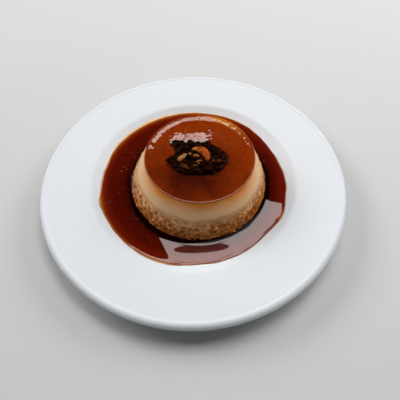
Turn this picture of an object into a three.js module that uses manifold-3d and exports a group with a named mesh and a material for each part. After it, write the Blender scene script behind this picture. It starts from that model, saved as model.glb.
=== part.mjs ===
// Creme caramel turned out on a dessert plate, in its pool of caramel, with a fruit and nut topping.
// Millimetres, +Z up. The origin is on the table, under the middle of the plate; +Y is the far side.
import * as THREE from 'three';
import { mergeVertices } from 'three/addons/utils/BufferGeometryUtils.js';
import Module from 'manifold-3d';

const wasm = await Module();
wasm.setup();

// ---- Driving dimensions ----------------------------------------------------------------------

const GAP = 0.3; // between pieces that touch

const PLATE_RADIUS = 100;
const PLATE_HEIGHT = 16.2;
const ROLLED_EDGE_RADIUS = 2.95; // round section of the plate's thick edge
const RIM_RISE = 1.9; // from the lip of the well to the rolled edge
const LIP_RADIUS = 68.2; // where the rim turns down into the well
const LIP_FILLET = 8;
const WELL_WALL_ANGLE = 28; // degrees from level
const WELL_FILLET = 16;
const WELL_FLOOR = 8.1; // height of the floor that the food stands on
const BASE_UNDERSIDE = 3.4;
const RIM_THICKNESS = 4.6;
const FOOT_RADIUS = 60;
const FOOT_WIDTH = 3.6;
const FOOT_TAPER = 1.2;
const PLATE_SEGMENTS = 64;

const FLAN_X = 3.9; // middle of the flan's base on the plate
const FLAN_Y = -1.7;
const FLAN_LEAN = 0.8; // how far the top's middle has crept towards +X
const FLAN_TILT = 0.02; // rise of the top per millimetre towards the far side
const FLAN_BASE_RADIUS = 44.7;
const FLAN_TOP_RADIUS = 33.9;
const FLAN_TOP = 36.9; // height of the top's lip
const FLAN_BULGE = 0.7; // how far the side swells past a straight cone
const FLAN_FOOT_ROUNDING = 2.6;
const ROUGH_UP_TO = 23; // the side is torn and porous below this height
const CRAG_DEPTH = 1.25;
const CRAG_SIZE = 3.4;
const FLAN_SEGMENTS = 64;

const GLAZE_THICKNESS = 1; // set caramel on the flan's top
const LIP_WIDTH = 4.2; // raised rounded border of the top
const LIP_DROP = 0.5; // from the border down to the level ring inside it
const HOLLOW_RADIUS = 21.5; // sunken middle that holds the topping
const HOLLOW_FLOOR_RADIUS = 11.5;
const HOLLOW_DEPTH = 1.6;

const POOL_RADIUS = 62.9;
const POOL_LEVEL = 11.3; // height of the pool where it meets the flan
const POOL_EDGE_THICKNESS = 0.45;
const POOL_LOBES = [ // waves of the pool's edge: degrees round the plate, reach and spread
  { at: 24, reach: -2.1, spread: 22 },
  { at: 125, reach: 0.9, spread: 24 },
  { at: 172, reach: -0.9, spread: 14 },
  { at: 197, reach: 1.1, spread: 5 },
  { at: 250, reach: 1.5, spread: 14 },
  { at: 273, reach: -0.7, spread: 6 },
  { at: 313, reach: -0.8, spread: 8 },
  { at: 332, reach: 1.1, spread: 7 },
];

const HEAP_OUTLINE = [ // soaked fruit heap, measured from the middle of the flan's top
  [-18, 13.2], [-12.8, 12.6], [-9, 11.2], [-1, 11.8], [5.6, 12.2], [8.2, 8.2], [12.6, 5.4], [16.4, 0],
  [16.8, -4], [13.4, -9.8], [6.4, -14], [0.6, -12.6], [-5.6, -14.2], [-12, -12], [-17.6, -7.4],
  [-19.8, -2.4], [-17.2, 0.6], [-14.6, 2.2], [-15.2, 6.2], [-17.6, 10.6],
];
const HEAP_CORE_THICKNESS = 1.7;
const HEAP_RINGS = [ // rings of bits in the heap: share of its outline, bits, radius of a bit
  { share: 0.84, count: 15, radius: 2.5 },
  { share: 0.5, count: 8, radius: 2.8 },
  { share: 0.14, count: 2, radius: 2.8 },
];
const BIT_FLATNESS = 0.72;
const BEAD_FLATNESS = 0.82;
const TROUGH_REACH = 3; // a trough is open above its piece
const LARGE_BITS = [ // pieces on the heap: beads as [x, y, radius], height of their middle
  {
    name: 'apricot_piece', color: 0xb4601c, height: 2.7,
    beads: [[-3.9, 4.1, 1.1], [-2.1, 4.6, 1.8], [0.2, 4.3, 2.4], [2.4, 2.9, 2.6], [4.1, 0.6, 2.4],
      [4.9, -1.9, 1.9], [4.7, -3.9, 1.3]],
  },
  {
    name: 'walnut_piece', color: 0xb98454, height: 2.7,
    beads: [[-12.1, -3.5, 1.4], [-10.9, -2.1, 1.7], [-9.4, -0.3, 1.4]],
  },
  {
    name: 'almond_piece', color: 0x6a3a1c, height: 2.4,
    beads: [[-11, -7.2, 1.3], [-8.9, -8.9, 1.7], [-6.9, -10.3, 1.2]],
  },
  {
    name: 'date_sliver', color: 0x5a2414, height: 2.6,
    beads: [[8, -5.2, 1.2], [10, -5.3, 1.5], [12.1, -5.2, 1.4], [13.8, -5, 1]],
  },
];

const SEED = 41;

// ---- Random draws and noise --------------------------------------------------------------------

/** Repeatable random numbers from 0 to 1. */
function seededRandom(seed) {
  let state = seed >>> 0;
  return () => {
    state = (Math.imul(state, 1664525) + 1013904223) >>> 0;
    return state / 4294967296;
  };
}

/** Smooth noise from -1 to 1 over rows of cells, closed round `columns`. */
function ringNoise(columns, rows, seed) {
  const random = seededRandom(seed);
  const cells = Array.from({ length: columns * rows }, () => random() * 2 - 1);
  const cell = (column, row) => {
    const wrapped = ((column % columns) + columns) % columns;
    return cells[Math.min(Math.max(row, 0), rows - 1) * columns + wrapped];
  };
  return (turn, level) => {
    const column = Math.floor(turn * columns);
    const row = Math.floor(level);
    const u = THREE.MathUtils.smoothstep(turn * columns - column, 0, 1);
    const v = THREE.MathUtils.smoothstep(level - row, 0, 1);
    const lower = THREE.MathUtils.lerp(cell(column, row), cell(column + 1, row), u);
    const upper = THREE.MathUtils.lerp(cell(column, row + 1), cell(column + 1, row + 1), u);
    return THREE.MathUtils.lerp(lower, upper, v);
  };
}

/** Turns round the axis, from 0 to 1, at a point. */
function turnAt(x, y) {
  return (Math.atan2(y, x) / (2 * Math.PI) + 1) % 1;
}

// ---- Geometry helpers ----------------------------------------------------------------------------

/** One shared vertex at each place, positions only. */
function welded(geometry) {
  geometry.deleteAttribute('normal');
  geometry.deleteAttribute('uv');
  return mergeVertices(geometry, 1e-4);
}

/** Solid turned about the Z axis from an outline of [radius, height] points, given upwards outside. */
function turned(outline, segments) {
  const points = outline.map(([radius, height]) => new THREE.Vector2(radius, height));
  return welded(new THREE.LatheGeometry(points, segments).rotateX(Math.PI / 2));
}

/** Moves each vertex to where `place(x, y, z)` says. */
function reshaped(geometry, place) {
  const position = geometry.getAttribute('position');
  for (let index = 0; index < position.count; index += 1) {
    const moved = place(position.getX(index), position.getY(index), position.getZ(index));
    position.setXYZ(index, ...moved);
  }
  return geometry;
}

/** Outline with its corners, given as [radius, height, fillet], rounded to arcs. */
function filleted(corners) {
  const arcStep = THREE.MathUtils.degToRad(12);
  return corners.flatMap(([radius, height, fillet], index) => {
    if (!fillet) return [[radius, height]];
    const corner = new THREE.Vector2(radius, height);
    const before = new THREE.Vector2(...corners[index - 1]).sub(corner).normalize();
    const after = new THREE.Vector2(...corners[index + 1]).sub(corner).normalize();
    const opening = before.angleTo(after);
    const centre = before.clone().add(after).normalize()
      .multiplyScalar(fillet / Math.sin(opening / 2)).add(corner);
    const tangent = fillet / Math.tan(opening / 2);
    const start = before.multiplyScalar(tangent).add(corner).sub(centre);
    const end = after.multiplyScalar(tangent).add(corner).sub(centre);
    const sweep = Math.atan2(start.cross(end), start.dot(end));
    const steps = Math.max(2, Math.ceil(Math.abs(sweep) / arcStep));
    return Array.from({ length: steps + 1 }, (_, step) => {
      const point = start.clone().rotateAround(new THREE.Vector2(), (sweep * step) / steps).add(centre);
      return [point.x, point.y];
    });
  });
}

/** Height of an outline at a radius, between its points in order of falling radius. */
function heightOn(outline, radius) {
  const next = outline.findIndex(([reach]) => reach <= radius);
  if (next <= 0) return outline[0][1];
  const [outerRadius, outerHeight] = outline[next - 1];
  const [innerRadius, innerHeight] = outline[next];
  const share = (radius - innerRadius) / (outerRadius - innerRadius);
  return THREE.MathUtils.lerp(innerHeight, outerHeight, share);
}

/** manifold-3d solid of a closed geometry. */
function toSolid(geometry) {
  const shell = geometry.getAttribute('normal') ? welded(geometry) : geometry;
  return new wasm.Manifold(new wasm.Mesh({
    numProp: 3,
    vertProperties: Float32Array.from(shell.getAttribute('position').array),
    triVerts: Uint32Array.from(shell.getIndex().array),
  }));
}

/** Geometry of a manifold-3d solid. */
function fromSolid(solid) {
  const mesh = solid.getMesh();
  const geometry = new THREE.BufferGeometry();
  geometry.setAttribute('position', new THREE.BufferAttribute(mesh.vertProperties, 3));
  geometry.setIndex(new THREE.BufferAttribute(mesh.triVerts, 1));
  return geometry;
}

/** Named mesh with its own material. */
function piece(name, geometry, color, roughness) {
  const smooth = geometry.clone();
  smooth.computeVertexNormals();
  const mesh = new THREE.Mesh(smooth, new THREE.MeshStandardMaterial({ color, roughness, metalness: 0 }));
  mesh.name = name;
  return mesh;
}

// ---- Plate ---------------------------------------------------------------------------------------

const RIM_BELOW_EDGE = 0.4; // the rim meets the rolled edge just below its top
const rimInnerHeight = PLATE_HEIGHT - RIM_RISE - RIM_BELOW_EDGE;

/** Upper face of the plate, from the rolled edge in to the middle of the well. */
function plateUpperFace() {
  const wallRun = (rimInnerHeight - WELL_FLOOR) / Math.tan(THREE.MathUtils.degToRad(WELL_WALL_ANGLE));
  return filleted([
    [PLATE_RADIUS - 1.4 * ROLLED_EDGE_RADIUS, PLATE_HEIGHT - RIM_BELOW_EDGE, 0],
    [LIP_RADIUS, rimInnerHeight, LIP_FILLET],
    [LIP_RADIUS - wallRun, WELL_FLOOR, WELL_FILLET],
    [0, WELL_FLOOR, 0],
  ]);
}

/** Round section of the rolled edge, from underneath to its inner crease on top. */
function rolledEdge() {
  const [from, to, steps] = [-100, 100, 8];
  return Array.from({ length: steps + 1 }, (_, step) => {
    const angle = THREE.MathUtils.degToRad(THREE.MathUtils.lerp(from, to, step / steps));
    return [
      PLATE_RADIUS - ROLLED_EDGE_RADIUS * (1 - Math.cos(angle)),
      PLATE_HEIGHT - ROLLED_EDGE_RADIUS * (1 - Math.sin(angle)),
    ];
  });
}

/** Underside of the plate, from the middle out over the foot ring to the rolled edge. */
function plateUnderside() {
  const footInner = FOOT_RADIUS - FOOT_WIDTH;
  return [
    [0, BASE_UNDERSIDE],
    [footInner - FOOT_TAPER, BASE_UNDERSIDE],
    [footInner, 0],
    [FOOT_RADIUS, 0],
    [FOOT_RADIUS + FOOT_TAPER, BASE_UNDERSIDE],
    [LIP_RADIUS + 1, rimInnerHeight - RIM_THICKNESS],
    [PLATE_RADIUS - 2 * ROLLED_EDGE_RADIUS, PLATE_HEIGHT - 2 * ROLLED_EDGE_RADIUS],
  ];
}

const wellFace = plateUpperFace();

function plate() {
  return turned([...plateUnderside(), ...rolledEdge(), ...wellFace], PLATE_SEGMENTS);
}

// ---- Flan ----------------------------------------------------------------------------------------

const flanBottom = WELL_FLOOR + GAP;
const crags = ringNoise(Math.round((2 * Math.PI * FLAN_BASE_RADIUS) / CRAG_SIZE), 12, SEED);

/** Radius of the flan's smooth side at a height. */
function flanRadius(height) {
  const share = (height - flanBottom) / (FLAN_TOP - flanBottom);
  const cone = THREE.MathUtils.lerp(FLAN_BASE_RADIUS, FLAN_TOP_RADIUS, share);
  const foot = Math.max(0, 1 - (height - flanBottom) / FLAN_FOOT_ROUNDING);
  return cone + FLAN_BULGE * Math.sin(Math.PI * share) - FLAN_FOOT_ROUNDING * foot ** 2;
}

/** How far the torn lower side stands proud of, or sinks below, the smooth side. */
function cragAt(turn, height) {
  const fade = 1 - THREE.MathUtils.smoothstep(height, ROUGH_UP_TO - 5, ROUGH_UP_TO + 2);
  return CRAG_DEPTH * fade * crags(turn, (height - flanBottom) / CRAG_SIZE);
}

/** Height of the glazed top at a radius from its middle. */
function topHeight(radius) {
  const edge = FLAN_TOP_RADIUS - LIP_WIDTH;
  const lip = THREE.MathUtils.smootherstep(radius, edge, FLAN_TOP_RADIUS - 0.25 * LIP_WIDTH);
  const hollow = 1 - THREE.MathUtils.smoothstep(radius, HOLLOW_FLOOR_RADIUS, HOLLOW_RADIUS);
  return FLAN_TOP - LIP_DROP * (1 - lip) - HOLLOW_DEPTH * hollow;
}

/** Face parallel to the top and `below` it, at shares of its radius from border to middle. */
function topFace(below, reaches) {
  return reaches.map((share) => {
    const radius = share * FLAN_TOP_RADIUS;
    return [radius, topHeight(radius) - below];
  });
}

const GLAZE_REACHES = [0.985, 0.955, 0.92, 0.87, 0.6, 0.52, 0.44, 0.37, 0]; // shares of the top's radius
const CROWN_REACHES = [1, 0.955, 0.87, 0.6, 0.37, 0];

/** Puts a point of the flan in its place, leaning and tilted more the higher it is. */
function onPlate(x, y, z) {
  const share = (z - flanBottom) / (FLAN_TOP - flanBottom);
  return [x + FLAN_X + FLAN_LEAN * share, y + FLAN_Y, z + FLAN_TILT * share * y];
}

function custard() {
  const crown = topFace(GLAZE_THICKNESS + GAP, CROWN_REACHES);
  const sideTop = crown[0][1];
  const side = [0, 0.03, 0.075, 0.13, 0.2, 0.28, 0.36, 0.44, 0.54, 0.7, 0.86].map((share) => {
    const height = THREE.MathUtils.lerp(flanBottom, sideTop, share);
    return [flanRadius(height), height];
  });
  return reshaped(turned([[0, flanBottom], ...side, ...crown], FLAN_SEGMENTS), (x, y, z) => {
    const radius = Math.hypot(x, y);
    const scale = radius > FLAN_TOP_RADIUS ? 1 + cragAt(turnAt(x, y), z) / radius : 1;
    return onPlate(x * scale, y * scale, z);
  });
}

/** Set caramel on the flan's top: a thin dished layer with a crisp edge. */
function caramelTop() {
  const lower = topFace(GLAZE_THICKNESS, CROWN_REACHES).reverse();
  const edge = [[FLAN_TOP_RADIUS, FLAN_TOP - GLAZE_THICKNESS / 3]];
  return reshaped(turned([...lower, ...edge, ...topFace(0, GLAZE_REACHES)], FLAN_SEGMENTS), onPlate);
}

// ---- Pool of caramel -------------------------------------------------------------------------------

/** Distance of the pool's wavy edge from the middle of the plate. */
function poolReach(azimuth) {
  return POOL_LOBES.reduce((reach, lobe) => {
    const away = ((azimuth - lobe.at + 540) % 360) - 180;
    return reach + lobe.reach * Math.exp(-((away / lobe.spread) ** 2));
  }, POOL_RADIUS);
}

/** Distance from the flan's axis that clears the flan's foot, at a turn round it. */
function footReach(turn) {
  const heights = [0, 0.5, 1, 1.5, 2, 2.5, 3, 3.5].map((rise) => flanBottom + rise);
  return Math.max(...heights.map((height) => flanRadius(height) + cragAt(turn, height))) + GAP;
}

/** Point of the pool, `across` from the flan (0) to its edge (1), on its upper or lower face. */
function poolPoint(azimuth, across, upper) {
  const angle = THREE.MathUtils.degToRad(azimuth);
  const inner = footReach(azimuth / 360);
  const outer = poolReach(azimuth);
  const x = THREE.MathUtils.lerp(FLAN_X + inner * Math.cos(angle), outer * Math.cos(angle), across);
  const y = THREE.MathUtils.lerp(FLAN_Y + inner * Math.sin(angle), outer * Math.sin(angle), across);
  if (!upper) return [x, y, heightOn(wellFace, Math.hypot(x, y)) + GAP];
  const edge = heightOn(wellFace, outer) + GAP + POOL_EDGE_THICKNESS;
  return [x, y, THREE.MathUtils.lerp(POOL_LEVEL, edge, across ** 3)];
}

/** Ring of sauce round the flan, turned as a strip and then laid into the well. */
function caramelPool() {
  const lower = [0, 0.45, 0.7, 0.86, 1].map((across) => [1 + across, 0]);
  const upper = [1, 0.92, 0.8, 0.6, 0.3, 0].map((across) => [1 + across, 1]);
  return reshaped(turned([...lower, ...upper, lower[0]], FLAN_SEGMENTS), (x, y, z) => (
    poolPoint(turnAt(x, y) * 360, Math.hypot(x, y) - 1, z > 0.5)
  ));
}

// ---- Topping -----------------------------------------------------------------------------------------

const topX = FLAN_X + FLAN_LEAN;
const topY = FLAN_Y;
const hollowFloor = topHeight(0);

/** What lies below the topping, as a cutter: the glazed top raised by the gap. */
function toppingBed() {
  const bedDepth = 12;
  const face = topFace(-GAP, GLAZE_REACHES);
  const outline = [[0, hollowFloor - bedDepth], [face[0][0], hollowFloor - bedDepth], ...face];
  return toSolid(reshaped(turned(outline, FLAN_SEGMENTS / 2), onPlate));
}

/** Irregular bit of fruit at a place, stretched and turned by seeded draws. */
function fruitBit(random, place, radius) {
  const shape = new THREE.DodecahedronGeometry(radius, 0);
  const long = 0.85 + 0.4 * random();
  shape.scale(long, 1 / long, BIT_FLATNESS).rotateY(0.5 * (random() - 0.5)).rotateZ(Math.PI * random());
  return toSolid(shape.translate(topX + place.x, topY + place.y, place.z));
}

/** Piece made of overlapping round beads, each [x, y, radius]. */
function beadChain({ beads, height }) {
  return wasm.Manifold.union(beads.map(([x, y, radius]) => {
    const bead = new THREE.IcosahedronGeometry(radius, 1).scale(1, 1, BEAD_FLATNESS);
    return toSolid(bead.translate(topX + x, topY + y, hollowFloor + height));
  }));
}

/** Plain trough that holds such a piece clear of the heap: an eight-sided drum round each bead. */
function beadTrough({ beads, height }) {
  const sides = 8;
  const reachToSide = 1 / Math.cos(Math.PI / sides);
  return wasm.Manifold.union(beads.map(([x, y, radius]) => {
    const drum = (radius + GAP) * reachToSide;
    const depth = radius * BEAD_FLATNESS + GAP;
    const shape = new THREE.CylinderGeometry(drum, drum, 2 * TROUGH_REACH, sides).rotateX(Math.PI / 2);
    return toSolid(shape.translate(topX + x, topY + y, hollowFloor + height + TROUGH_REACH - depth));
  }));
}

/** Heap of soaked fruit: a low core of the heap's outline, its bits fused on, its bed cut away. */
function fruitHeap() {
  const random = seededRandom(SEED);
  const edge = new THREE.CatmullRomCurve3(HEAP_OUTLINE.map(([x, y]) => new THREE.Vector3(x, y)), true);
  const edgePoints = edge.getPoints(2 * HEAP_OUTLINE.length).slice(1);
  const bevel = 0.6;
  const core = new THREE.ExtrudeGeometry(new THREE.Shape(edgePoints), {
    depth: HEAP_CORE_THICKNESS,
    bevelSize: bevel,
    bevelOffset: -bevel,
    bevelThickness: bevel,
    bevelSegments: 1,
  });
  core.translate(topX, topY, hollowFloor);
  const bits = HEAP_RINGS.flatMap(({ share, count, radius }) => (
    Array.from({ length: count }, (_, index) => {
      const place = edge.getPointAt((index + 0.8 * random()) / count).multiplyScalar(share);
      place.z = hollowFloor + radius * (0.45 + 0.2 * random());
      return fruitBit(random, place, radius * (0.8 + 0.4 * random()));
    })
  ));
  const room = LARGE_BITS.map(beadTrough);
  return wasm.Manifold.difference([wasm.Manifold.union([toSolid(core), ...bits]), toppingBed(), ...room]);
}

// ---- Assembly ------------------------------------------------------------------------------------------

const PORCELAIN = 0xe9ecee;
const CUSTARD = 0xb98752;
const CARAMEL = 0x7a2f08;
const DEEP_CARAMEL = 0x4a1206;
const SOAKED_FRUIT = 0x160b08;

const servedFlan = new THREE.Group();
servedFlan.add(
  piece('plate', plate(), PORCELAIN, 0.12),
  piece('custard', custard(), CUSTARD, 0.45),
  piece('caramel_top', caramelTop(), CARAMEL, 0.08),
  piece('caramel_pool', caramelPool(), DEEP_CARAMEL, 0.06),
  piece('fruit_topping', fromSolid(fruitHeap()), SOAKED_FRUIT, 0.3),
);
for (const large of LARGE_BITS) {
  servedFlan.add(piece(large.name, fromSolid(beadChain(large)), large.color, 0.35));
}

export default servedFlan;
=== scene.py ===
"""Creme caramel on its dessert plate: the visible pieces, modelled round the fixed construction frame."""

import random
from functools import partial
from math import atan2, ceil, cos, degrees, exp, hypot, pi, radians, sin, sqrt, tan, tau

import bpy
from bpy.props import FloatProperty, FloatVectorProperty, IntProperty, PointerProperty
from bpy.types import Operator, Panel, PropertyGroup
from mathutils import Matrix, Vector
from mathutils.noise import noise


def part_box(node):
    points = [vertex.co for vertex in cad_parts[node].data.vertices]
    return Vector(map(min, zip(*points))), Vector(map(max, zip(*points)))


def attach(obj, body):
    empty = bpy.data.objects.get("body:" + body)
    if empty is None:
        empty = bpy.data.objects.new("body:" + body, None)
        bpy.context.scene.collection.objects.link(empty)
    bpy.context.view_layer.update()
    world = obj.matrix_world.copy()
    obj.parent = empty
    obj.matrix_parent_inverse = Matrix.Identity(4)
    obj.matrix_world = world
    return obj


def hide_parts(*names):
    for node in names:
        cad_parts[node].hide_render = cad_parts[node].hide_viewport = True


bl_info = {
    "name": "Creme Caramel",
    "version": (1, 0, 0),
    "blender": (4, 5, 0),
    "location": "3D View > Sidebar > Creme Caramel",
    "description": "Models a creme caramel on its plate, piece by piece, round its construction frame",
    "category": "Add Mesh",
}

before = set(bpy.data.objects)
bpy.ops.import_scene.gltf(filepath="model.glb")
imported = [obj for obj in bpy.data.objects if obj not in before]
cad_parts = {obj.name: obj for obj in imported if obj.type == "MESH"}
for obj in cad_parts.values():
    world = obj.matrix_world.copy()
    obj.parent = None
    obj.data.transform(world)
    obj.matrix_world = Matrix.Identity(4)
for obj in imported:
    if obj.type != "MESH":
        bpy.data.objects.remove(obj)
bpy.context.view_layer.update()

MM = 0.001
NODE_GAP = 0.3 * MM  # kept between touching nodes of the frame

# ---- Places taken from the frame ----

PLATE_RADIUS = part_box("plate")[1].x
PLATE_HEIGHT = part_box("plate")[1].z
WELL_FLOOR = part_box("custard")[0].z - NODE_GAP


def linear(hex_value):
    """sRGB hex, such as "E9ECEE", as the linear RGBA that a socket takes."""
    shares = [int(hex_value[start:start + 2], 16) / 255 for start in (0, 2, 4)]
    return [c / 12.92 if c <= 0.04045 else ((c + 0.055) / 1.055) ** 2.4 for c in shares] + [1.0]


def length(name, description, millimetres):
    """A length property with its default in millimetres."""
    return FloatProperty(
        name=name, description=description, default=millimetres * MM, unit="LENGTH", precision=5
    )


def slant(name, description, value):
    """An angle property with its default in degrees."""
    return FloatProperty(name=name, description=description, default=radians(value), subtype="ANGLE")


def colour(name, description, hex_value):
    """A colour property with its default as sRGB hex."""
    return FloatVectorProperty(
        name=name, description=description, default=linear(hex_value), size=4, min=0, max=1, subtype="COLOR"
    )


# ---- What a user would change ----


class PlateSettings(PropertyGroup):
    """Sizes and colour of the porcelain plate."""

    rolled_edge: length("Rolled edge", "Radius of the thick rolled edge", 2.95)
    rim_rise: length("Rim rise", "From the lip of the well up to the rolled edge", 1.9)
    rim_step: length("Rim step", "How far the rim meets the rolled edge below its top", 0.4)
    lip_radius: length("Lip radius", "Where the rim turns down into the well", 68.2)
    lip_fillet: length("Lip fillet", "Rounding of that lip", 8)
    wall_angle: slant("Wall angle", "Slope of the well's wall", 28)
    well_fillet: length("Well fillet", "Rounding at the foot of the well's wall", 16)
    foot_radius: length("Foot radius", "Outer radius of the foot ring", 60)
    foot_width: length("Foot width", "Width of the foot ring", 3.6)
    base_underside: length("Base underside", "Height of the recess inside the foot ring", 3.4)
    rim_thickness: length("Rim thickness", "Thickness of the rim", 4.6)
    glaze: colour("Glaze", "White porcelain under clear glaze", "E3E7EB")


class FlanSettings(PropertyGroup):
    """Sizes and colours of the custard and its glazed top."""

    base_x: length("Base X", "Middle of the flan's base on the plate", 3.3)
    base_y: length("Base Y", "Middle of the flan's base on the plate", -2.3)
    lean: length("Lean", "How far the top has crept towards +X", 1.4)
    lean_y: length("Lean Y", "How far the top has crept towards +Y", 0.6)
    tilt: FloatProperty(name="Tilt", description="Rise of the top for each length towards +Y", default=0.02)
    base_radius: length("Base radius", "Radius of the side's cone at its foot", 45.1)
    top_radius: length("Top radius", "Radius of the glazed top", 33.9)
    top: length("Top", "Height of the top's border", 36.9)
    bulge: length("Bulge", "How far the side swells past a straight cone", 0.7)
    foot_rounding: length("Foot rounding", "How far the foot draws in under the sauce", 2.6)
    torn_height: length("Torn height", "The side is torn and porous below this height", 25)
    crag_depth: length("Crag depth", "Depth of the torn surface", 0.9)
    glaze_thickness: length("Glaze thickness", "Thickness of the set caramel", 1)
    lip_width: length("Lip width", "Width of the top's raised border", 4.2)
    lip_drop: length("Lip drop", "From the border down to the dish inside it", 0.55)
    hollow_left: length("Hollow left", "Left end of the hollow's far wall", -17.5)
    hollow_right: length("Hollow right", "Right end of the hollow's far wall", 5)
    hollow_radius: length("Hollow radius", "Where the hollow's far wall begins", 20.5)
    hollow_floor: length("Hollow floor", "Where the hollow's far wall ends", 10.5)
    hollow_depth: length("Hollow depth", "Depth of the sunken middle", 1.2)
    custard: colour("Custard", "Pale smooth custard of the upper side", "F7C893")
    custard_low: colour("Lower custard", "Custard of the torn lower side", "DB8D44")
    stain: colour("Stain", "Caramel soaked into the custard", "EE8C2C")
    pores: colour("Pores", "Caramel held in the torn custard's pores", "904614")
    caramel: colour("Caramel", "Set caramel of the top", "8A2F01")
    # Deeper caramel colours the darker spot in front of the top's middle, and the burnt flecks.
    caramel_near: colour("Deeper caramel", "Set caramel where it lies thicker", "420E00")


class SauceSettings(PropertyGroup):
    """Sizes and colours of the pool of caramel."""

    radius: length("Radius", "Mean reach of the pool from the middle of the plate", 62.9)
    level: length("Level", "Height of the pool round the flan", 11.2)
    edge_thickness: length("Edge thickness", "Thickness that the sauce gains at its thinnest edge", 0.2)
    climb: length("Climb", "How far the sauce climbs the flan's foot", 0.4)
    climb_reach: length("Climb reach", "How far out from the foot that climb is felt", 3.6)
    deep: colour("Deep sauce", "Thick caramel sauce", "5A0F00")
    amber: colour("Thin sauce", "Caramel sauce where it thins at its edge", "8A3E06")


class ToppingSettings(PropertyGroup):
    """Sizes and colours of the fruit and nut topping."""

    bed: length("Bed", "Thickness of the soaked bed that the bits lie on", 1.3)
    bit_flatness: FloatProperty(
        name="Bit flatness", description="Height of a bit for its width", default=0.42
    )
    seed: IntProperty(name="Seed", description="Draws of the heap's bits and of the crumbs", default=41)
    fruit: colour("Fruit", "Dried fruit soaked in syrup", "160300")
    apricot: colour("Apricot", "Candied apricot", "AE5206")
    apricot_deep: colour("Deep apricot", "Candied apricot where it is thick", "7C2802")
    apricot_tip: colour("Apricot tip", "Candied apricot where it is thin", "B87828")
    nut: colour("Nut", "Broken walnut flesh", "B87424")
    nut_skin: colour("Nut skin", "Walnut skin in the folds", "7A4212")
    almond: colour("Almond", "Almond soaked in caramel", "582A0C")
    date: colour("Date", "Reddish flesh of a soaked date", "58200C")


class StageSettings(PropertyGroup):
    """Camera, light and floor."""

    camera: FloatVectorProperty(
        name="Camera", description="Place of the camera", default=(0.00432, -0.14501, 0.20666),
        subtype="TRANSLATION",
    )
    camera_elevation: slant("Camera elevation", "How steeply the camera looks down", 56.92)
    camera_roll: slant("Camera roll", "Turn of the camera about its view", -1.12)
    lens: FloatProperty(name="Lens", description="Focal length on a 36 mm sensor", default=32.4)
    floor: colour("Floor", "Plain pale floor", "D1D1D0")
    key_power: FloatProperty(
        name="Key power", description="Power of the softbox above", default=6.25, unit="POWER"
    )
    side_power: FloatProperty(
        name="Side power", description="Power of the light on the right", default=8.0, unit="POWER"
    )
    front_power: FloatProperty(
        name="Front power", description="Power of the front light", default=0.9, unit="POWER"
    )
    ambient: FloatProperty(name="Ambient", description="Strength of the surroundings", default=0.045)


SETTINGS = {
    "flan_plate": PlateSettings,
    "flan_body": FlanSettings,
    "flan_sauce": SauceSettings,
    "flan_topping": ToppingSettings,
    "flan_stage": StageSettings,
}

# ---- Materials ----


def add_node(tree, kind, inputs=None, stops=(), **settings):
    """Adds a node and gives its outputs. Inputs are values or sockets to link, stops a ramp's colours."""
    added = tree.nodes.new(f"ShaderNode{kind}")
    for name, value in settings.items():
        setattr(added, name, value)
    if stops:
        elements = added.color_ramp.elements
        while len(elements) < len(stops):
            elements.new(0.5)
        for element, (place, shade) in zip(elements, stops):
            element.position = place
            element.color = shade
    connect(added, inputs or {})
    return added.outputs


def connect(node, inputs):
    """Sets a node's named inputs to values, or links them to sockets."""
    for name, value in inputs.items():
        socket = node.inputs[name]
        if isinstance(value, bpy.types.NodeSocket):
            node.id_data.links.new(value, socket)
        else:
            socket.default_value = value


def new_material(name):
    """Material with its shader, an Object coordinate socket, and add_node for its own tree."""
    material = bpy.data.materials.new(name)
    material.use_nodes = True
    add = partial(add_node, material.node_tree)
    return material, material.node_tree.nodes["Principled BSDF"], add("TexCoord")["Object"], add


def pitch(millimetres):
    """Scale of a noise whose swells are this far apart."""
    return 1 / (millimetres * MM)


def glazed_porcelain(settings):
    """Glazed porcelain: fired clear glaze over white clay gives clean soft reflections."""
    material, shader, place, add = new_material("glazed_porcelain")
    swell = add("TexNoise", {"Vector": place, "Scale": pitch(16.67), "Detail": 1.0})["Fac"]
    bump = add("Bump", {"Height": swell, "Strength": 0.04, "Distance": 0.4 * MM})["Normal"]
    connect(shader, {
        "Base Color": settings.glaze, "Roughness": 0.3, "IOR": 1.5, "Specular IOR Level": 0.06,
        "Normal": bump,
    })
    return material


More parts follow.
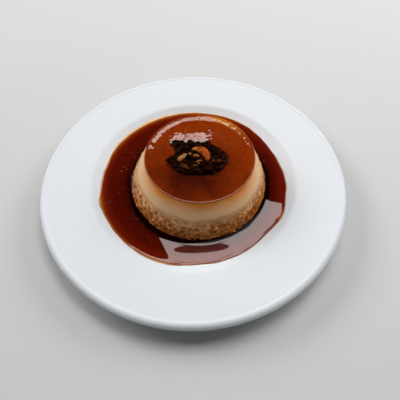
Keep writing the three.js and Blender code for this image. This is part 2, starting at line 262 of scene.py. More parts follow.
def baked_custard(settings):
    """Baked custard: moist, faintly translucent, smooth above and torn below, stained by its caramel."""
    material, shader, place, add = new_material("baked_custard")
    torn = settings.torn_height
    along = add("SeparateXYZ", {"Vector": place})
    wander = add("TexNoise", {"Vector": place, "Scale": pitch(11.765), "Detail": 4.0})["Fac"]
    height = add("Math", {0: wander, 1: 6 * MM, 2: along["Z"]}, operation="MULTIPLY_ADD")["Value"]
    crag = add("Attribute", attribute_name="crag")["Fac"]
    flattened = add("Mapping", {"Vector": place, "Scale": (1.0, 1.0, 1.7)})["Vector"]
    fine = add("TexNoise", {"Vector": flattened, "Scale": pitch(2.5), "Detail": 3.0})["Fac"]
    pitted = add("Math", {0: fine, 1: 4.2, 2: crag}, operation="MULTIPLY_ADD")["Value"]
    ranges = [  # value, from, to, least and greatest share, interpolation
        (height, torn - 11.5 * MM, torn + 5 * MM, 0, 1, "LINEAR"),
        # Where the side is torn, sauce stands in its pores and the custard between them is clean.
        (pitted, 2.15, 1.65, 0, 0.85, "LINEAR"),
        (height, torn + 4 * MM, torn - 3 * MM, 0, 1, "LINEAR"),
        (pitted, 2.3, 2.8, 0, 0.5, "LINEAR"),
        # Caramel bleeds down from the top, most of all on the near side.
        (height, settings.top - 6 * MM, settings.top + 2 * MM, 0, 1, "SMOOTHSTEP"),
        (along["Y"], -6 * MM, -27 * MM, 0.12, 1, "LINEAR"),
    ]
    rise, pores, low, clean, bleed, near = (
        add(
            "MapRange",
            {"Value": value, "From Min": start, "From Max": end, "To Min": least, "To Max": greatest},
            interpolation_type=kind,
        )["Result"]
        for value, start, end, least, greatest, kind in ranges
    )
    soaked = add("Math", {0: pores, 1: low}, operation="MULTIPLY")["Value"]
    stained = add("Math", {0: bleed, 1: near}, operation="MULTIPLY")["Value"]
    base = add(
        "ValToRGB", {"Fac": rise},
        [(0.0, linear("CA6C22")), (0.45, settings.custard_low), (0.95, settings.custard)],
    )["Color"]
    for share, shade in ((soaked, settings.pores), (clean, settings.custard), (stained, settings.stain)):
        base = add("Mix", {"Factor": share, "A": base, "B": shade}, data_type="RGBA")["Result"]
    bump = add("Bump", {"Height": fine, "Strength": 0.3, "Distance": 0.3 * MM})["Normal"]
    connect(shader, {
        "Base Color": base, "Roughness": 0.36, "IOR": 1.4, "Specular IOR Level": 0.3, "Normal": bump,
        "Subsurface Weight": 0.25, "Subsurface Scale": 1.5 * MM, "Subsurface Radius": (1.0, 0.5, 0.25),
    })
    return material


def set_caramel(settings):
    """Set caramel: poured sugar syrup, clear brown and wet, deeper in colour round a spot in front of its
    middle.
    """
    material, shader, place, add = new_material("set_caramel")
    # It is darkest round a spot 18 mm in front of the middle, and grows lighter over 38 mm in X and 29 mm in
    # Y.
    spot = add(
        "Mapping", {"Vector": place, "Location": (0.0, 0.62, 0.0), "Scale": (26.0, 34.0, 0.0)}
    )["Vector"]
    away = add("VectorMath", {0: spot}, operation="LENGTH")["Value"]
    drift = add(
        "TexNoise", {"Vector": place, "Scale": pitch(11.111), "Detail": 7.0, "Roughness": 0.62}
    )["Fac"]
    uneven = add("Math", {0: drift, 1: 1.1, 2: away}, operation="MULTIPLY_ADD")["Value"]
    lighter = add("MapRange", {"Value": uneven, "From Min": 0.7, "From Max": 1.65})["Result"]
    burnt = add("TexNoise", {"Vector": place, "Scale": pitch(2.381), "Detail": 4.0})["Fac"]
    flecks = add("MapRange", {"Value": burnt, "From Min": 0.5, "From Max": 0.7, "To Max": 0.3})["Result"]
    heap_ring, thin, rim = (
        add("Attribute", attribute_name=name)["Fac"] for name in ("heap_ring", "thin", "rim")
    )
    base = settings.caramel_near
    # The rim share is a painted highlight: the top's near edge turns a lighter tan.
    layers = [
        (lighter, settings.caramel), (flecks, settings.caramel_near), (heap_ring, linear("200400")),
        (thin, linear("C8760E")), (rim, linear("A85A1E")),
    ]
    for share, shade in layers:
        base = add("Mix", {"Factor": share, "A": base, "B": shade}, data_type="RGBA")["Result"]
    roughness = add("MapRange", {"Value": rim, "To Min": 0.06, "To Max": 0.5})["Result"]
    skin = add("TexNoise", {"Vector": place, "Scale": pitch(1.5385), "Detail": 2.0})["Fac"]
    bump = add("Bump", {"Height": skin, "Strength": 0.03, "Distance": 0.2 * MM})["Normal"]
    connect(shader, {
        "Base Color": base, "Roughness": roughness, "IOR": 1.48, "Specular IOR Level": 0.7,
        "Specular Tint": linear("FFF0E8"), "Normal": bump,
    })
    return material


def caramel_sauce(settings):
    """Caramel sauce: thick boiled syrup, dark where deep and amber where its edge thins, and almost black in
    painted shade beside the flan's foot.
    """
    material, shader, place, add = new_material("caramel_sauce")
    # The depth attribute also carries painted shadow beside the flan's foot.
    depth, foot_shade = (
        add("Attribute", attribute_name=name)["Fac"] for name in ("depth", "foot_shade")
    )
    drift = add("TexNoise", {"Vector": place, "Scale": pitch(7.692), "Detail": 7.0, "Roughness": 0.65})["Fac"]
    mottled = add("Math", {0: drift, 1: 0.2, 2: depth}, operation="MULTIPLY_ADD")["Value"]
    base = add("ValToRGB", {"Fac": mottled}, [
        (0.08, linear("E2C09A")), (0.17, linear("AC7745")), (0.31, settings.amber), (0.46, linear("7A2402")),
        (0.56, linear("681702")), (0.68, settings.deep), (0.8, linear("4A0B00")), (0.95, linear("120200")),
    ])["Color"]
    # The sauce has one gloss, but close by the flan's torn foot it is turned down, as painted shade where the
    # foot keeps the light off.
    gloss = 0.49
    shaded = add("MapRange", {"Value": foot_shade, "To Min": gloss, "To Max": 0.03})["Result"]
    connect(shader, {"Specular IOR Level": gloss})
    connect(shader, {
        "Base Color": base, "Roughness": 0.02, "IOR": 1.48, "Specular IOR Level": shaded,
        "Specular Tint": linear("FFF0EC"),
    })
    return material


def food(name, dark, shade, roughness, grain, fade=None, gloss=0.5, sheen="FFFFFF"):
    """Fruit or nut, mottled between two colours over a grain's size. Fade is (from x, to x, end colour)."""
    material, shader, place, add = new_material(name)
    mottle = add("TexNoise", {"Vector": place, "Scale": 1 / grain, "Detail": 4.0})["Fac"]
    share = add("MapRange", {"Value": mottle, "From Min": 0.35, "From Max": 0.62})["Result"]
    if fade:
        low, high, far_shade = fade
        x = add("SeparateXYZ", {"Vector": place})["X"]
        far = add("MapRange", {"Value": x, "From Min": low, "From Max": high})["Result"]
        shade = add("Mix", {"Factor": far, "A": shade, "B": far_shade}, data_type="RGBA")["Result"]
    base = add("Mix", {"Factor": share, "A": dark, "B": shade}, data_type="RGBA")["Result"]
    bump = add("Bump", {"Height": mottle, "Strength": 0.5, "Distance": 0.3 * MM})["Normal"]
    connect(shader, {
        "Base Color": base, "Roughness": roughness, "IOR": 1.45, "Specular IOR Level": gloss,
        "Specular Tint": linear(sheen), "Normal": bump,
    })
    return material


def matt_board(name, shade):
    """Painted board of the stage: plain and matt."""
    material, shader, place, add = new_material(name)
    tooth = add("TexNoise", {"Vector": place, "Scale": pitch(1.111), "Detail": 2.0})["Fac"]
    bump = add("Bump", {"Height": tooth, "Strength": 0.1, "Distance": 0.2 * MM})["Normal"]
    connect(shader, {"Base Color": shade, "Roughness": 0.85, "Normal": bump})
    return material


# ---- Modelling helpers ----


def deselect_all():
    """Leaves nothing selected in object mode."""
    if bpy.context.mode != "OBJECT":
        bpy.ops.object.mode_set(mode="OBJECT")
    bpy.ops.object.select_all(action="DESELECT")


def select(*things):
    """Selects these objects alone, with the first of them active."""
    deselect_all()
    for thing in things:
        thing.select_set(True)
    bpy.context.view_layer.objects.active = things[0]


def settle(thing, name):
    """Applies the object's place, names it and shades it smooth."""
    select(thing)
    bpy.ops.object.transform_apply(location=True, rotation=True, scale=True)
    bpy.ops.object.shade_smooth()
    thing.name = thing.data.name = name
    return thing


def dress(thing, material, slot, *nodes):
    """Gives a piece its material and its body, and hides the nodes that it stands for; the slot is not used.
    """
    thing.data.materials.clear()
    thing.data.materials.append(material)
    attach(thing, "root")
    if nodes:
        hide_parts(*nodes)


def ring_stack(name, rings, segments, closed=False):
    """Round body: a circle's edge is extruded and scaled from ring to ring, each (radius, height)."""
    deselect_all()
    radius, height = rings[0]
    bpy.ops.mesh.primitive_circle_add(
        vertices=segments, radius=radius, fill_type="NOTHING" if closed else "NGON", location=(0, 0, height)
    )
    body = bpy.context.object
    bpy.ops.object.transform_apply(location=True, rotation=False, scale=False)
    bpy.ops.object.mode_set(mode="EDIT")
    bpy.ops.mesh.select_all(action="SELECT")
    for next_radius, next_height in rings[1:]:
        bpy.ops.mesh.extrude_region_move(TRANSFORM_OT_translate={"value": (0, 0, next_height - height)})
        factor = next_radius / radius
        bpy.ops.transform.resize(value=(factor, factor, 1), center_override=(0, 0, next_height))
        radius, height = next_radius, next_height
    bpy.ops.mesh.select_all(action="SELECT")
    if closed:
        bpy.ops.mesh.remove_doubles(threshold=1e-6)
    bpy.ops.mesh.normals_make_consistent(inside=False)
    bpy.ops.object.mode_set(mode="OBJECT")
    return settle(body, name)


def filleted(corners):
    """Outline with its corners, each (radius, height, fillet), rounded to arcs."""
    arc_step = radians(5)
    outline = []
    for index, (radius, height, fillet) in enumerate(corners):
        corner = Vector((radius, height))
        if not fillet:
            outline.append((radius, height))
            continue
        before = (Vector(corners[index - 1][:2]) - corner).normalized()
        after = (Vector(corners[index + 1][:2]) - corner).normalized()
        opening = before.angle(after)
        middle = corner + (before + after).normalized() * fillet / sin(opening / 2)
        reach = fillet / tan(opening / 2)
        start = corner + before * reach - middle
        end = corner + after * reach - middle
        sweep = atan2(start.x * end.y - start.y * end.x, start.dot(end))
        steps = max(2, ceil(abs(sweep) / arc_step))
        for step in range(steps + 1):
            turned = Matrix.Rotation(sweep * step / steps, 2) @ start + middle
            outline.append((turned.x, turned.y))
    return outline


def height_on(outline, radius):
    """Height of an outline at a radius; its points are in order of falling radius."""
    for (outer, outer_height), (inner, inner_height) in zip(outline, outline[1:]):
        if inner <= radius <= outer:
            share = (radius - inner) / max(outer - inner, 1e-9)
            return inner_height + share * (outer_height - inner_height)
    return outline[-1][1] if radius < outline[-1][0] else outline[0][1]


def modify(body, kind, **settings):
    """Gives a body a modifier with these settings and applies it."""
    select(body)
    bpy.ops.object.modifier_add(type=kind)
    modifier = body.modifiers[-1]
    for name, value in settings.items():
        setattr(modifier, name, value)
    bpy.ops.object.modifier_apply(modifier=modifier.name)


def displace(body, pattern, size, strength, group="", middle=0.5):
    """Moves a body's surface along its normals by a pattern of a real size, inwards below its middle."""
    texture = bpy.data.textures.new(f"{body.name}_relief", pattern)
    texture.noise_scale = size
    modify(
        body, "DISPLACE", texture=texture, texture_coords="LOCAL", strength=strength, mid_level=middle,
        vertex_group=group,
    )
    bpy.data.textures.remove(texture)


def subdivide(body, levels):
    """Applies a subdivision surface."""
    modify(body, "SUBSURF", levels=levels, render_levels=levels)


def reshape(body, place):
    """Moves each vertex to where place(x, y, z) says."""
    for vertex in body.data.vertices:
        vertex.co = place(*vertex.co)
    body.data.update()


def store(body, name, value_at):
    """Keeps a number at each vertex, from value_at(coordinate), for a material to read."""
    attribute = body.data.attributes.new(name, "FLOAT", "POINT")
    for index, vertex in enumerate(body.data.vertices):
        attribute.data[index].value = value_at(vertex.co)


def copies_joined(name, sources, placements):
    """One piece from copies of sources, each placement (source index, matrix). The sources are removed."""
    made = []
    for index, matrix in placements:
        copy = sources[index].copy()
        copy.data = sources[index].data.copy()
        copy.data.transform(matrix)
        bpy.context.collection.objects.link(copy)
        made.append(copy)
    select(*made)
    bpy.ops.object.join()
    for source in sources:
        bpy.data.objects.remove(source)
    return settle(bpy.context.object, name)


def smoothstep(value, low, high):
    """0 below low, 1 above high, and an even curve between."""
    share = min(max((value - low) / (high - low), 0.0), 1.0)
    return share * share * (3 - 2 * share)


def band(value, rise_start, rise_end, fall_start, fall_end):
    """1 between the rise's end and the fall's start, fading evenly to 0 on both sides."""
    return smoothstep(value, rise_start, rise_end) * (1 - smoothstep(value, fall_start, fall_end))


def polar(reach, angle):
    """X and Y at a distance and an angle from a middle."""
    return reach * cos(angle), reach * sin(angle)


def short_way(azimuth, start):
    """Degrees from one azimuth to another, the short way round."""
    return (azimuth - start + 540) % 360 - 180


# ---- Forms shared by the pieces ----

HUB = 2 * MM  # radius of the flat discs that close the plate in its middle, above and below


def lip_height(plate):
    """Height of the lip between the plate's rim and its well."""
    return PLATE_HEIGHT - plate.rim_rise - plate.rim_step


def plate_upper_face(plate):
    """Outline of the plate's upper face, from the rolled edge in to the middle of the well."""
    wall_run = (lip_height(plate) - WELL_FLOOR) / tan(plate.wall_angle)
    rim_start = Vector((PLATE_RADIUS - 1.4 * plate.rolled_edge, PLATE_HEIGHT - plate.rim_step))
    lip = Vector((plate.lip_radius, lip_height(plate)))
    # The rim's rings crowd towards the rolled edge, so that its smooth shading doesn't spread over the rim.
    rim = [(*rim_start.lerp(lip, share), 0) for share in (0, 0.02, 0.06, 0.14, 0.3, 0.5)]
    return filleted([
        *rim,
        (*lip, plate.lip_fillet),
        (plate.lip_radius - wall_run, WELL_FLOOR, plate.well_fillet),
        (HUB, WELL_FLOOR, 0),
    ])


def flan_radius(flan, height):
    """Radius of the flan's smooth side at a height."""
    share = (height - WELL_FLOOR) / (flan.top - WELL_FLOOR)
    cone = flan.base_radius + share * (flan.top_radius - flan.base_radius)
    foot = max(0.0, 1 - (height - WELL_FLOOR) / flan.foot_rounding)
    return cone + flan.bulge * sin(pi * share) - flan.foot_rounding * foot ** 2


def top_height(flan, x, y):
    """Height of the glazed top at a place from its middle: a border, and a hollow with a far wall."""
    radius = hypot(x, y)
    inner = flan.top_radius - flan.lip_width
    far = smoothstep(y, -0.35 * flan.top_radius, 0.4 * flan.top_radius)
    # On the far side the border drops in a step, lower on the right. On the near side it falls away softly.
    step = flan.lip_drop * (1 - smoothstep(radius, inner, flan.top_radius - 0.25 * flan.lip_width))
    step *= 1 - 0.65 * smoothstep(x, 0.1 * flan.top_radius, 0.5 * flan.top_radius)
    soft = 0.6 * flan.lip_drop * (1 - exp((radius - flan.top_radius) / (5 * MM)))
    hollow = flan.hollow_depth * (1 - smoothstep(radius, 0.35 * flan.top_radius, flan.top_radius))
    return flan.top - soft - (step - soft) * far - hollow * (1 - far_wall(flan, x, y))


def far_wall(flan, x, y):
    """How far the hollow has filled up, from 0 to 1, across the straight wall on its far side."""
    left, right = flan.hollow_left, flan.hollow_right
    across = band(x, left - 1.5 * MM, left + 1.5 * MM, right - 5 * MM, right + 3 * MM)
    return across * smoothstep(y, flan.hollow_floor, flan.hollow_radius)


def on_plate(flan, x, y, z):
    """Puts a point of the flan in its place, leaning and tilted more the higher it is."""
    share = (z - WELL_FLOOR) / (flan.top - WELL_FLOOR)
    return Vector((
        x + flan.base_x + flan.lean * share, y + flan.base_y + flan.lean_y * share, z + flan.tilt * share * y,
    ))


def on_top(flan, x, y, above=0.0):
    """Point on the glazed top, or above it, at a place from the middle of the top."""
    return on_plate(flan, x, y, top_height(flan, x, y)) + Vector((0, 0, above))


POOL_LOBES = [  # waves of the pool's edge: degrees round the plate, reach in mm and spread in degrees
    (24, -2.1, 22), (125, 0.9, 24), (172, -0.9, 14), (197, 1.1, 5), (250, 1.5, 14), (273, -0.7, 6),
    (313, -0.8, 8), (332, 1.1, 7),
]
POOL_RIPPLES = [  # troughs by the pool's edge: degrees round the plate, spread, mm from the edge, rise in mm
    (-41, 4.5, 1.7, -0.3), (-30, 3, 1.5, -0.28), (-84, 9, 1.2, -0.18), (-58, 5, 1.2, -0.18),
]


def pool_reach(sauce, azimuth):
    """Distance of the pool's wavy edge from the middle of the plate, at degrees round it."""
    reach = sauce.radius
    for at, swell, spread in POOL_LOBES:
        reach += swell * MM * exp(-((short_way(azimuth, at) / spread) ** 2))
    return reach + 0.5 * MM * noise(Vector((*polar(7, radians(azimuth)), 0.3)))


def facing(angle, azimuth):
    """How far an angle looks towards an azimuth in degrees, from 1 to 0 on the opposite side."""
    return 0.5 + 0.5 * cos(angle - radians(azimuth))


class PoolForm:
    """The pool's surface, found from its settings and those of the plate and the flan."""

    buried = 1.2 * MM  # how far the pool reaches in under the flan's foot
    edge_slope = 0.7 * MM  # over which its surface falls towards the edge
    edge_rounding = 0.35 * MM  # over which the edge itself is rounded
    full_depth = 4.6 * MM  # depth that the material takes as 1
    thickest = -35  # azimuth in degrees where the pool's edge stands highest
    deepest = -50  # azimuth in degrees where the pool looks deepest

    def __init__(self, plate, flan, sauce):
        self.well = plate_upper_face(plate)
        self.flan = flan
        self.sauce = sauce
        self.foot = flan_radius(flan, sauce.level) + 0.5 * flan.crag_depth

    def point(self, azimuth, across, upper=True):
        """Point of the pool from inside the flan's foot (0) to the pool's edge (1)."""
        sauce = self.sauce
        angle = radians(azimuth)
        ring = Vector(polar(1, angle))
        inside = Vector((self.flan.base_x, self.flan.base_y)) + (self.foot - self.buried) * ring
        outer = pool_reach(sauce, azimuth)
        spread = outer * ring - inside
        place = inside + across * spread
        if not upper:
            return Vector((*place, height_on(self.well, place.length) - 0.05 * MM))
        edge = height_on(self.well, outer)
        from_edge = (1 - across) * spread.length
        from_foot = across * spread.length - self.buried
        thickness = sauce.edge_thickness * (1 + 3 * facing(angle, self.thickest) ** 2)
        base = sauce.level - thickness
        flat = base + (edge - base) * exp(-from_edge / self.edge_slope)
        lens = thickness * (1 - exp(-from_edge / self.edge_rounding))
        climb = sauce.climb * max(1 - from_foot / sauce.climb_reach, 0) ** 2
        ripple = 0.0
        for at, width, away, rise in POOL_RIPPLES:
            turn = short_way(azimuth, at) / width
            inward = from_edge / MM - away
            steep = 1.9 if inward > 0 else 0.55  # mm: gentle towards the flan, sharp towards the edge
            ripple += rise * MM * exp(-turn ** 2 - (inward / steep) ** 2)
        return Vector((*place, flat + lens + climb + ripple))

    def shade(self, place):
        """Depth that the sauce shows: more on its deepest side, less at its thin edge, with painted shadow
        added by the flan's foot.
        """
        reach = hypot(place.x, place.y)
        angle = atan2(place.y, place.x)
        full = facing(angle, self.deepest)
        depth = (place.z - height_on(self.well, reach)) / self.full_depth
        even = 0.5  # depth up to which the deepest side looks the same
        depth = max(depth, min(depth * (1 + 1.7 * full ** 2), even))
        from_edge = pool_reach(self.sauce, degrees(angle)) - reach
        thin = exp(-from_edge / (1.8 * MM)) * (1 - full) ** 10
        # Painted shadow of the flan: the depth grows close to its foot, so the sauce's colour darkens there.
        wide_shadow = 0.11 * self.foot_shade(place, 0.5 * MM, 9 * MM)
        near_shadow = 0.3 * full ** 2 * self.foot_shade(place, 1.4 * MM, 4 * MM)
        return depth - 0.33 * thin + wide_shadow + near_shadow

    def foot_shade(self, place, whole=1.8 * MM, none=2.2 * MM):
        """Painted shade of the flan's foot on the sauce: how near a place lies to the foot, from 1 to 0."""
        away = Vector((place.x - self.flan.base_x, place.y - self.flan.base_y, 0))
        ragged = 0.7 * MM * noise(4 * away.normalized())
        return 1 - smoothstep(away.length - self.foot + ragged, whole, none)


HEAP_OUTLINE = [  # edge of the fruit heap in mm, measured from the middle of the flan's top
    (-18, 13.2), (-12.8, 12.6), (-9, 11.2), (-1, 11.8), (5.6, 12.2), (8.2, 8.2), (12.6, 5.4), (16.4, 0),
    (16.8, -4), (13.4, -9.8), (6.4, -14), (0.6, -12.6), (-5.6, -14.2), (-12, -12), (-17.6, -7.4),
    (-19.8, -2.4), (-17.2, 0.6), (-14.6, 2.2), (-15.2, 6.2), (-17.6, 10.6),
]
HEAP_CORNERS = sorted((atan2(y, x) % tau, hypot(x, y) * MM) for x, y in HEAP_OUTLINE)


def heap_reach(angle):
    """Distance of the heap's edge from the middle of the top, in a direction."""
    angle %= tau
    (first, first_reach), (last, last_reach) = HEAP_CORNERS[0], HEAP_CORNERS[-1]
    wrapped = [(last - tau, last_reach), *HEAP_CORNERS, (first + tau, first_reach)]
    for (low, near), (high, far) in zip(wrapped, wrapped[1:]):
        if low <= angle <= high:
            return near + (far - near) * smoothstep(angle, low, high)
    return last_reach


LARGE_BITS = {  # pieces on the heap: [x, y, radius] in mm along each, and the height of their middle
    "apricot": ([(-3.9, 4.1, 1.0), (-2.1, 4.6, 1.8), (0.2, 4.3, 2.5), (2.4, 2.9, 2.8), (4.1, 0.6, 2.5),
                 (4.9, -1.9, 1.9), (4.7, -3.9, 1.2)], 2.7),
    "walnut": ([(-12.1, -3.5, 1.4), (-10.9, -2.1, 1.6), (-9.4, -0.3, 1.3)], 2.8),
    "almond": ([(-11, -7.2, 1.3), (-8.9, -8.9, 1.7), (-6.9, -10.3, 1.2)], 2.4),
    "date": ([(8, -5.2, 1.0), (10, -5.3, 1.3), (12.1, -5.2, 1.2), (13.8, -5, 0.8)], 2.6),
}


# ---- Pieces ----


def make_plate(plate):
    """Porcelain plate: underside and foot ring, rolled edge, rim and well, ring by ring."""
    foot_inner = plate.foot_radius - plate.foot_width
    taper = 1.2 * MM
    fillet = 0.8 * MM
    under = filleted([
        (HUB, plate.base_underside, 0),
        (foot_inner - taper, plate.base_underside, fillet),
        (foot_inner, 0, fillet),
        (plate.foot_radius, 0, fillet),
        (plate.foot_radius + taper, plate.base_underside, fillet),
        (plate.lip_radius + MM, lip_height(plate) - plate.rim_thickness, plate.lip_fillet),
        (PLATE_RADIUS - 2 * plate.rolled_edge, PLATE_HEIGHT - 2 * plate.rolled_edge, 0),
    ])
    edge_steps = 26
    half_turn = radians(100)  # how far the rolled edge bends round, each way from level
    edge = []
    for step in range(edge_steps + 1):
        angle = half_turn * (2 * step / edge_steps - 1)
        edge.append((
            PLATE_RADIUS - plate.rolled_edge * (1 - cos(angle)),
            PLATE_HEIGHT - plate.rolled_edge * (1 - sin(angle)),
        ))
    return ring_stack("porcelain_plate", under + edge + plate_upper_face(plate), 192)


def make_custard(flan):
    """Custard body: coarse rings subdivided, then torn and pitted below by displacement."""
    side_top = flan.top - 0.85 * flan.glaze_thickness
    rows = 13
    bottom = [(share * flan.base_radius, WELL_FLOOR) for share in (0.1, 0.6, 0.88)]
    side = []
    for row in range(rows + 1):
        height = WELL_FLOOR + (side_top - WELL_FLOOR) * (row / rows) ** 1.15
        side.append((flan_radius(flan, height) - 0.1 * MM, height))
    crown = [(share * flan.top_radius, side_top) for share in (0.985, 0.93, 0.87, 0.6, 0.37, 0.06)]
    body = ring_stack("custard_body", bottom + side + crown, 60)
    subdivide(body, 3)
    torn = body.vertex_groups.new(name="torn")
    for vertex in body.data.vertices:
        x, y, z = vertex.co
        outside = hypot(x, y) > flan.top_radius + 2 * MM
        border = flan.torn_height + 4 * MM * noise(vertex.co / (8 * MM))
        fade = 1 - smoothstep(z, border - 6 * MM, border + MM)
        torn.add([vertex.index], fade if outside else 0.0, "REPLACE")
    relief = [  # pattern, size, depth for that of the crags, level that stays in place
        ("CLOUDS", 3.6 * MM, 1.3, 0.25), ("VORONOI", 2.4 * MM, 0.5, 0.15), ("CLOUDS", 0.9 * MM, 0.55, 0.25),
    ]
    for pattern, size, depth, level in relief:
        displace(body, pattern, size, depth * flan.crag_depth, "torn", level)
    store(body, "crag", lambda co: (hypot(co.x, co.y) - flan_radius(flan, co.z)) / MM - 0.5)

    def settled(x, y, z):
        sunk = top_height(flan, x, y) - flan.top if z > flan.torn_height else 0.0
        return on_plate(flan, x, y, z + sunk)

    reshape(body, settled)
    return body


def make_glaze(flan):
    """Set caramel on the top: a dished disc with a rounded border, its skin faintly uneven."""
    radius, thick = flan.top_radius, flan.glaze_thickness
    face_radius = radius - 0.15 * MM
    under = [(share * radius, flan.top - thick) for share in (0.06, 0.3, 0.6, 0.87, 0.985)]
    border = [  # past the top's radius in mm, and down in shares of the thickness
        (0.32, 0.97), (0.25, 0.6), (0.18, 0.22), (0.1, 0.08), (0, 0.02),
    ]
    border = [(radius + past * MM, flan.top - down * thick) for past, down in border]
    rows = 110
    face = [(face_radius * (1 - row / rows), flan.top) for row in range(rows)]
    disc = ring_stack("caramel_glaze", under + border + face, 360)

    def heap_ring(place):
        """Darker caramel in a band round the heap's edge."""
        from_heap = hypot(place.x, place.y) - heap_reach(atan2(place.y, place.x))
        from_heap += 1.5 * MM * noise(place / (2.5 * MM))
        return 0.85 - 0.85 * smoothstep(from_heap, -0.5 * MM, 2.6 * MM)

    def thin(place):
        """Thin golden caramel along the far right border, 60 degrees round the top."""
        away = (degrees(atan2(place.y, place.x)) - 60) / 23
        outer = smoothstep(hypot(place.x, place.y), radius - 5.5 * MM, radius - 2 * MM)
        return 0.85 * exp(-away ** 2) * outer

    def rim(place):
        """Painted highlight: a lighter tan along the near edge of the disc."""
        outer = smoothstep(hypot(place.x, place.y), radius - 0.45 * MM, radius)
        return outer * (1 - smoothstep(place.y / radius, -0.1, 0.3))

    store(disc, "heap_ring", heap_ring)
    store(disc, "thin", thin)
    store(disc, "rim", rim)

    low, high, left, right = flan.hollow_floor, flan.hollow_radius, flan.hollow_left, flan.hollow_right

    def uneven(x, y, z):
        """Wrinkles on the hollow's far wall and along the far border, and a crack across the wall."""
        reach = hypot(x, y)
        here = Vector((x, y, 0))
        swell = 0.02 * MM * noise(here / (8 * MM))
        broad = noise(here / (3.2 * MM) + Vector((1, 4, 0)))
        coarse = noise(here / (1.7 * MM) + Vector((5, 1, 0)))
        fine = noise(here / (0.7 * MM) + Vector((2, 7, 0)))
        wall = band(y, low - 2 * MM, low + 2 * MM, high - MM, high + 2 * MM)
        wall *= band(x, left - 3 * MM, left, right + MM, right + 4 * MM)
        border = smoothstep(reach, radius - 1.25 * flan.lip_width, radius - 0.8 * flan.lip_width)
        border *= smoothstep(y / radius, -0.1, 0.25)
        border *= 1 - 0.6 * smoothstep(x, 0.1 * radius, 0.5 * radius)
        wrinkle = (0.14 * broad + 0.12 * coarse + 0.035 * fine) * MM * max(0.6 * wall, border)
        # The crack runs up the wall, from 11 mm left of the middle at Y 12 mm to 9 mm left at Y 18 mm.
        along_crack = min(max((y - 12 * MM) / (6 * MM), 0), 1)
        from_crack = abs(x + (11 - 2 * along_crack) * MM)
        crack = 0.22 * MM * exp(-((from_crack / (0.35 * MM)) ** 2)) * wall
        fade = smoothstep(radius - reach, 0, 1.0 * MM)
        sunk = top_height(flan, x, y) - flan.top
        return on_plate(flan, x, y, z + sunk + (swell + wrinkle - crack) * fade)

    reshape(disc, uneven)
    return disc


def make_pool(form):
    """Pool of sauce: a ring of strips laid into the well, thin at its wavy edge, climbing the flan's foot."""
    rows = 46
    section = [(1 + across, 0.0) for across in (0.0, 0.25, 0.5, 0.7, 0.85, 0.95)]
    section += [(1 + (1 - row / rows) ** 1.25, 1.0) for row in range(rows + 1)]
    section.append((1.0, 0.0))
    strip = ring_stack("caramel_sauce_pool", section, 480, closed=True)

    def laid(x, y, z):
        across = min(max(hypot(x, y) - 1, 0.0), 1.0)
        return form.point(degrees(atan2(y, x)) % 360, across, z > 0.5)

    reshape(strip, laid)
    # The depth stored here includes the painted shadow by the flan's foot.
    store(strip, "depth", form.shade)
    store(strip, "foot_shade", form.foot_shade)
    return strip


def lump(name, seed, roughness, wrinkle, subdivisions=3):
    """Irregular lump of unit radius, to be copied: a sphere swollen and wrinkled by displacement."""
    deselect_all()
    bpy.ops.mesh.primitive_ico_sphere_add(subdivisions=subdivisions, radius=1)
    body = bpy.context.object
    body.name = name
    aside = Vector((7.3 * seed, 3.1 * seed, 0))  # each seed meets the pattern somewhere else
    body.data.transform(Matrix.Translation(aside))
    for size, strength in ((0.9, roughness), (0.38, wrinkle)):
        if strength:
            displace(body, "CLOUDS", size, strength)
    body.data.transform(Matrix.Translation(-aside))
    return body


def turned_at_random(draw, place, size, flatness):
    """Matrix that sets a lump down: stretched, flattened and turned by seeded draws."""
    long = 0.85 + 0.4 * draw.random()
    stretch = Matrix.Diagonal((size * long, size / long, size * flatness, 1))
    tip = Matrix.Rotation(0.8 * (draw.random() - 0.5), 4, "Y")
    turn = Matrix.Rotation(tau * draw.random(), 4, "Z")
    return Matrix.Translation(place) @ turn @ tip @ stretch


